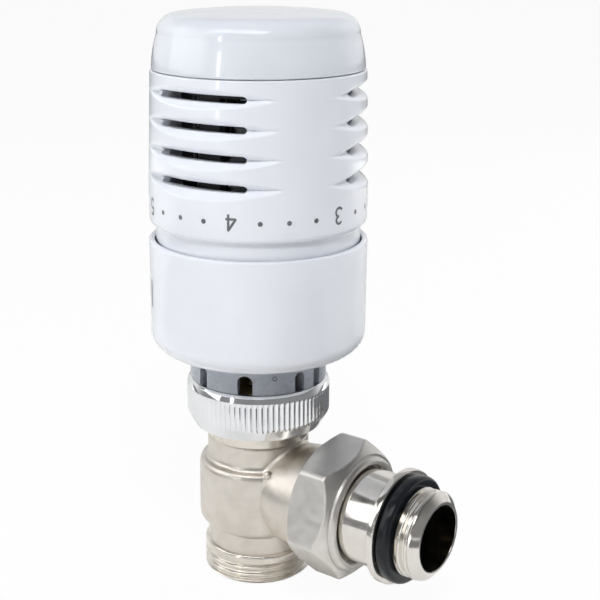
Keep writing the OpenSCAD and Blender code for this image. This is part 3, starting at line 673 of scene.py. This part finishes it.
def scooped(z, turn):
    """Outer radius of the handle's side at a height, for every direction."""
    plain = np.full(turn.shape, np.interp(z, side_z, side_r))
    reach = plain.copy()
    for middle in group_turns:
        off = (turn - math.radians(middle) + math.pi) % (2 * math.pi) - math.pi
        near = np.abs(off) < math.radians(60)
        for row in row_heights:
            rise = abs(z - row)
            if rise > scoop_half:
                continue
            rise = math.sqrt(rise * rise + 0.01) - 0.1
            far = scoop_bottom + rise / scoop_slope
            inside = np.clip(far ** 2 - (scoop_behind * np.sin(off)) ** 2, 0, None)
            groove = -scoop_behind * np.cos(off) + np.sqrt(inside)
            reach = np.where(near, soft_min(reach, groove, 0.55), reach)
    return reach


turn = np.linspace(0, 2 * math.pi, 480, endpoint=False)
edge_start = handle_r - edge_r
rows = [about_spindle(r, z, turn) for r, z in softened(
    [(bore_r, skirt_low), (skirt_r, skirt_low, 0.3), (skirt_r, shoulder, 0.15),
     (edge_start, shoulder)], 3)[:-1]]
rows += [about_spindle(r, z, turn)
         for r, z in arc(edge_start, shoulder + edge_r, edge_r, edge_r, -90, 0, 6)]
climb = [shoulder + 2.5, shoulder + 4, shoulder + 6, shoulder + 7.5]
climb += [row + 0.2 * k for row in row_heights for k in range(-15, 16)]
climb += [seam - 0.6]
rows += [about_spindle(scooped(z, turn), z, turn) for z in climb]
rows += [about_spindle(r, z, turn) for r, z in arc(24.45, seam - 0.25, 0.25, 0.2, 0, 90, 3)]
spigot_r = 22.3
spigot_inner_r = 20.7
shelf_hole_r = 14.4
rows += [about_spindle(r, z, turn) for r, z in (
    (spigot_r, seam), (spigot_r, handle_top), (spigot_inner_r, handle_top),
    (spigot_inner_r, shelf_z), (shelf_hole_r, shelf_z), (shelf_hole_r, web_z),
    (inner_r - 0.4, web_z))]
for z in climb[-2:3:-1]:
    rows.append(about_spindle(np.minimum(inner_r, scooped(z, turn) - wall), z, turn))
rows += [about_spindle(r, z, turn) for r, z in (
    (inner_r, shoulder + 3), (22.6, shoulder + 1.85), (bore_r, shoulder + 1.0))]
handle = make_piece("grip_handle", *wrapped(rows), "handle", white[0], sharp=45)

slot_reach = 29
slot_half = 0.85
slot_end = math.degrees(slot_half / 22.6)
cutter_inner_r, cutter_outer_r = 17.5, 28

# half of a slot's outline: degrees from its middle, and half its height there
round_end = np.radians(np.linspace(0, 90, 9))
offs = np.concatenate([-slot_reach + slot_end * (1 - np.cos(round_end)),
                       np.linspace(-slot_reach + slot_end, slot_reach - slot_end, 40)[1:],
                       slot_reach - slot_end + slot_end * np.sin(round_end[1:])])
halves = np.concatenate([np.maximum(slot_half * np.sin(round_end), 0.02),
                         np.full(39, slot_half),
                         np.maximum(slot_half * np.cos(round_end[1:]), 0.02)])
n = len(offs)
slot_faces = []
for i in range(n - 1):
    slot_faces += [(i, i + 1, n + i + 1, n + i),
                   (2 * n + i, 3 * n + i, 3 * n + i + 1, 2 * n + i + 1),
                   (i, 2 * n + i, 2 * n + i + 1, i + 1),
                   (n + i, n + i + 1, 3 * n + i + 1, 3 * n + i)]
slot_faces += [(0, n, 3 * n, 2 * n), (n - 1, 3 * n - 1, 4 * n - 1, 2 * n - 1)]
cutters = []
for group in group_turns:
    turns = np.radians(group + offs)
    for row in row_heights:
        edges = [np.stack([r * np.cos(turns), r * np.sin(turns), row + side * halves], -1)
                 for r in (cutter_inner_r, cutter_outer_r) for side in (1, -1)]
        cutters.append((np.vstack(edges), slot_faces))
points, faces = join(cutters)
cutter_mesh = bpy.data.meshes.new("slot_cutter")
cutter_mesh.from_pydata((points / 1000).tolist(), [], faces)
cleaner = bmesh.new()
cleaner.from_mesh(cutter_mesh)
bmesh.ops.recalc_face_normals(cleaner, faces=cleaner.faces)
cleaner.to_mesh(cutter_mesh)
cleaner.free()
cutter = bpy.data.objects.new("slot_cutter", cutter_mesh)
bpy.context.scene.collection.objects.link(cutter)
cut = handle.modifiers.new("slots", "BOOLEAN")
cut.operation = "DIFFERENCE"
cut.solver = "EXACT"
cut.object = cutter
evaluated = handle.evaluated_get(bpy.context.evaluated_depsgraph_get())
handle_mesh = bpy.data.meshes.new_from_object(evaluated)
handle.modifiers.clear()
handle.data = handle_mesh
handle_mesh.set_sharp_from_angle(angle=math.radians(45))
bpy.data.objects.remove(cutter)
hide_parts("handle")


# ---- Scale ----------------------------------------------------------------
# Numbers 1 to 5, a frost star and three dots between each pair, pad printed
# in grey round the handle's foot. They stand on their heads because they are
# read from above.

def bow(cx, cy, r, start, stop):
    """Points along a round stroke of a figure."""
    return [(cx + r * math.cos(t), cy + r * math.sin(t))
            for t in np.radians(np.linspace(start, stop, 14))]


digits = {
    "1": [[(0.08, 0.78), (0.34, 1.0), (0.34, 0.0)]],
    "2": [bow(0.3, 0.72, 0.27, 165, -35) + [(0.02, 0.0), (0.6, 0.0)]],
    "3": [bow(0.28, 0.755, 0.235, 155, -90), bow(0.28, 0.26, 0.27, 90, -155)],
    "4": [[(0.46, 0.0), (0.46, 1.0), (0.0, 0.3), (0.64, 0.3)]],
    "5": [[(0.55, 1.0), (0.1, 1.0), (0.06, 0.52)] + bow(0.28, 0.31, 0.3, 135, -150)],
    "frost": [[(0.3 + 0.46 * math.cos(a), 0.5 + 0.46 * math.sin(a)),
               (0.3 - 0.46 * math.cos(a), 0.5 - 0.46 * math.sin(a))]
              for a in np.radians([90, 30, 150])],
}
digit_height = 3.6
digit_z = shoulder + 4.85
digit_line = 0.56
dot_r = 0.56
dot_z = shoulder + 4.65
dot_sides = 20
scale_turn = -122.6
scale_step = 57.6
drum = handle_r + 0.02

dot_turn = np.linspace(0, 2 * math.pi, dot_sides, endpoint=False)
dot = np.vstack([[(0, 0)], np.stack([np.cos(dot_turn), np.sin(dot_turn)], 1) * dot_r])
dot_faces = [(0, 1 + i, 1 + (i + 1) % dot_sides) for i in range(dot_sides)]
marks = []
for count, figure in enumerate(["5", "4", "3", "2", "1", "frost"]):
    figure_turn = scale_turn + scale_step * count
    for stroke in digits[figure]:
        shaped = (np.array(stroke) - (0.3, 0.5)) * -digit_height
        points, faces = pen_line(shaped, digit_line)
        marks.append((on_drum(points, drum, figure_turn, digit_z), faces))
    for k in (1, 2, 3):
        marks.append((on_drum(dot, drum, figure_turn + scale_step / 4 * k, dot_z), dot_faces))
scale_marks = make_piece("scale_marks", *join(marks), "handle", ink[0])


# ---- Top cap --------------------------------------------------------------
# The cap that closes the handle, a white moulding with a soft edge and
# a slightly domed crown, pressed on over a spigot. Its white is the handle's
# white painted darker: painted shade on the cap's leaning side.

cap_low, cap_high = extent("top_cap", 2)
# the handle's white painted darker, as painted shade on the cap
cap_shaded_white = new_finish("cap_abs_painted_shade", (0.73, 0.76, 0.815), 0, 0.15)
mottle(cap_shaded_white, 120, (0.722, 0.752, 0.807), (0.738, 0.768, 0.823))
patchy_shine(cap_shaded_white, 300, 0.12, 0.18)
grain(cap_shaded_white, 500, 0.003)
cap_shaded_white[3].inputs["Coat Weight"].default_value = 0.5
cap_shaded_white[3].inputs["Coat Roughness"].default_value = 0.04
cap_r = 24.35
cap_lean = 1.35
cap_side_h = 7.6
crown_r = 18.6
crown_h = 1.1
crown_wall = 1.7
seam_r = 23.3
seam_h = 0.18
cap_outline = [(22.75, cap_low), (seam_r, cap_low), (seam_r, cap_low + seam_h)]
cap_outline += softened([(24.0, cap_low + seam_h), (cap_r, cap_low + seam_h, 0.2),
                         (24.28, cap_low + 1)], 3)[1:-1]
cap_outline += [(cap_r - cap_lean * t ** 1.6, cap_low + 0.5 + cap_side_h * t)
                for t in np.linspace(0.05, 1, 12)]
cap_outline += arc(crown_r, cap_low + 8.1, 4.4, 4.2, 4, 83.5, 14)
cap_outline += [(crown_r * (1 - t), cap_high - crown_h * (1 - t) ** 2)
                for t in np.linspace(0.03, 0.9995, 15)]
# the hollow underneath, from the middle outwards
cap_outline += [(0.01, cap_high - crown_wall)]
cap_outline += [(r, cap_high - crown_wall - (r / 18) ** 2) for r in (6, 12, 17)]
cap_outline += [(20.5, cap_high - 4.2), (22.0, cap_low + 8), (22.6, cap_low + 4)]
cap = make_piece("closing_cap", *lathed(cap_outline, 256, about_spindle), "handle", cap_shaded_white[0],
                 sharp=40)
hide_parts("top_cap")


# ---- Studio ---------------------------------------------------------------
# A floor and a room that the camera sees as white. Soft boxes light the part,
# and two windows, a strip light and three dark cards on the floor give the
# glossy and the plated parts what they reflect.

def flat_card(name, centre, width, height, finish, spin=0):
    """A level rectangle that faces up, turned by a number of degrees."""
    upright = Vector((0, 0, 1)).to_track_quat("Z", "Y").to_matrix().to_4x4()
    turn = upright @ Matrix.Rotation(math.radians(spin), 4, "Z")
    mesh = bpy.data.meshes.new(name)
    w, h = width / 2, height / 2
    mesh.from_pydata([(-w, -h, 0), (w, -h, 0), (w, h, 0), (-w, h, 0)], [], [(0, 1, 2, 3)])
    mesh.materials.append(finish)
    card = bpy.data.objects.new(name, mesh)
    card.matrix_world = Matrix.Translation(centre) @ turn
    bpy.context.scene.collection.objects.link(card)
    return card


view_turn = math.radians(38.5)
to_camera = Vector((math.sin(view_turn), -math.cos(view_turn), 0))
to_right = Vector((math.cos(view_turn), math.sin(view_turn), 0))
middle = Vector((0, 0, 0.07))

# the floor is matt, and the camera sees it almost wholly as white light
floor_finish = bpy.data.materials.new("pale_floor")
floor_finish.use_nodes = True
tree, links = floor_finish.node_tree.nodes, floor_finish.node_tree.links
floor_paint = tree["Principled BSDF"]
floor_paint.inputs["Base Color"].default_value = (0.93, 0.92, 0.90, 1)
floor_paint.inputs["Roughness"].default_value = 0.9
floor_glow = tree.new("ShaderNodeEmission")
floor_glow.inputs["Color"].default_value = (1, 1, 1, 1)
rays = tree.new("ShaderNodeLightPath")
seen = tree.new("ShaderNodeMath")
seen.operation = "MULTIPLY"
seen.inputs[1].default_value = 0.95
blend = tree.new("ShaderNodeMixShader")
links.new(rays.outputs["Is Camera Ray"], seen.inputs[0])
links.new(seen.outputs[0], blend.inputs["Fac"])
links.new(floor_paint.outputs["BSDF"], blend.inputs[1])
links.new(floor_glow.outputs["Emission"], blend.inputs[2])
links.new(blend.outputs["Shader"], tree["Material Output"].inputs["Surface"])
flat_card("floor", (0, 0, -0.0002), 6, 6, floor_finish)

# the room is white to the camera and a faint fill to matt skins; reflections
# see it brighten towards the back and darken overhead
world = bpy.data.worlds.new("white_room")
bpy.context.scene.world = world
world.use_nodes = True
tree, links = world.node_tree.nodes, world.node_tree.links
plain = tree["Background"]
plain.inputs["Color"].default_value = (0.84, 0.90, 1, 1)
plain.inputs["Strength"].default_value = 0.12
bright = tree.new("ShaderNodeBackground")
bright.inputs["Color"].default_value = (1, 1, 1, 1)
bright.inputs["Strength"].default_value = 1
direction = tree.new("ShaderNodeTexCoord")
towards_back = tree.new("ShaderNodeVectorMath")
towards_back.operation = "DOT_PRODUCT"
towards_back.inputs[1].default_value = -to_camera
depth = tree.new("ShaderNodeMapRange")
depth.interpolation_type = "SMOOTHSTEP"
depth.inputs["From Min"].default_value = 0.0
depth.inputs["From Max"].default_value = 0.6
depth.inputs["To Min"].default_value = 0.31
depth.inputs["To Max"].default_value = 1
height = tree.new("ShaderNodeSeparateXYZ")
ceiling = tree.new("ShaderNodeMapRange")
ceiling.interpolation_type = "SMOOTHSTEP"
ceiling.inputs["From Min"].default_value = 0.4
ceiling.inputs["From Max"].default_value = 0.55
ceiling.inputs["To Min"].default_value = 1
ceiling.inputs["To Max"].default_value = 0.5
walls = tree.new("ShaderNodeMath")
walls.operation = "MULTIPLY"
room = tree.new("ShaderNodeBackground")
rays = tree.new("ShaderNodeLightPath")
shown = tree.new("ShaderNodeMixShader")
reflected = tree.new("ShaderNodeMixShader")
links.new(direction.outputs["Generated"], towards_back.inputs[0])
links.new(direction.outputs["Generated"], height.inputs[0])
links.new(towards_back.outputs["Value"], depth.inputs["Value"])
links.new(height.outputs["Z"], ceiling.inputs["Value"])
links.new(depth.outputs["Result"], walls.inputs[0])
links.new(ceiling.outputs["Result"], walls.inputs[1])
links.new(walls.outputs[0], room.inputs["Strength"])
links.new(rays.outputs["Is Camera Ray"], shown.inputs["Fac"])
links.new(rays.outputs["Is Glossy Ray"], reflected.inputs["Fac"])
links.new(plain.outputs["Background"], reflected.inputs[1])
links.new(room.outputs["Background"], reflected.inputs[2])
links.new(reflected.outputs["Shader"], shown.inputs[1])
links.new(bright.outputs["Background"], shown.inputs[2])
links.new(shown.outputs["Shader"], tree["World Output"].inputs["Surface"])

flag_finish = bpy.data.materials.new("dark_flag")
flag_finish.use_nodes = True
flag_paint = flag_finish.node_tree.nodes["Principled BSDF"]
flag_paint.inputs["Base Color"].default_value = (0.16, 0.16, 0.165, 1)
flag_paint.inputs["Roughness"].default_value = 1


def spot(right, front, up):
    """A place as the camera sees it, from the middle of the part."""
    return middle + to_right * right + to_camera * front + Vector((0, 0, up))


# dark cards on the floor that only reflections see: place, width, depth and turn
flags = {
    "right_flag": ((0.2, -0.03, 0.0005), 0.17, 0.2, 0),
    "back_flag": ((0.06, 0.105, 0.0005), 0.13, 0.15, 0),
    "left_flag": ((-0.23, -0.30, 0.0005), 0.4, 0.3, -127.5),
}
for name, (place, width, height, spin) in flags.items():
    flag = flat_card(name, place, width, height, flag_finish, spin)
    flag.visible_camera = False
    flag.visible_diffuse = False
    flag.visible_shadow = False

# each lamp: place, width, height, power, and whether it lights, gleams or does both
lamps = {
    "key_box": (spot(0.02, 0.46, 0.6), 0.2, 0.2, 3.7, "lights"),
    "left_box": (spot(-0.59, 0.1, -0.03), 0.4, 0.3, 1.75, "lights"),
    "back_left": (spot(-0.57, -0.4, 0.04), 0.4, 0.4, 1.6, "lights"),
    "back_right": (spot(0.57, -0.4, 0.04), 0.4, 0.4, 3.2, "lights"),
    "overhead_box": (spot(0, -0.2, 0.85), 0.5, 0.5, 1.6, "lights"),
    "top_window": (spot(-0.25, 0.45, 0.6), 0.8, 0.3, 1.8, "gleams"),
    "side_window": (spot(-0.5, 0.05, 0.22), 0.46, 0.36, 0.7, "gleams"),
    "strip_light": (spot(-0.67, 0.74, 0.12), 0.05, 0.5, 0.7, "both"),
}
for name, (place, width, height, power, use) in lamps.items():
    lamp = bpy.data.lights.new(name, "AREA")
    lamp.shape = "RECTANGLE"
    lamp.size = width
    lamp.size_y = height
    lamp.energy = power
    light = bpy.data.objects.new(name, lamp)
    aim = (place - middle).to_track_quat("Z", "Y").to_matrix().to_4x4()
    light.matrix_world = Matrix.Translation(place) @ aim
    light.visible_camera = False
    light.visible_glossy = use != "lights"
    light.visible_diffuse = use != "gleams"
    bpy.context.scene.collection.objects.link(light)

camera_back = 0.2913
camera_z = 0.1569
camera_dip = 16.79
lens = bpy.data.cameras.new("camera")
lens.lens = 76.2
lens.sensor_width = 36
lens.shift_x = 0.0694
lens.clip_start = 0.01
lens.clip_end = 20
camera = bpy.data.objects.new("camera", lens)
camera.location = to_camera * camera_back + Vector((0, 0, camera_z))
camera.rotation_euler = (math.radians(90 - camera_dip), 0, view_turn)
bpy.context.scene.collection.objects.link(camera)
bpy.context.scene.camera = camera
bpy.context.scene.view_settings.view_transform = "Standard"

bpy.context.view_layer.update()
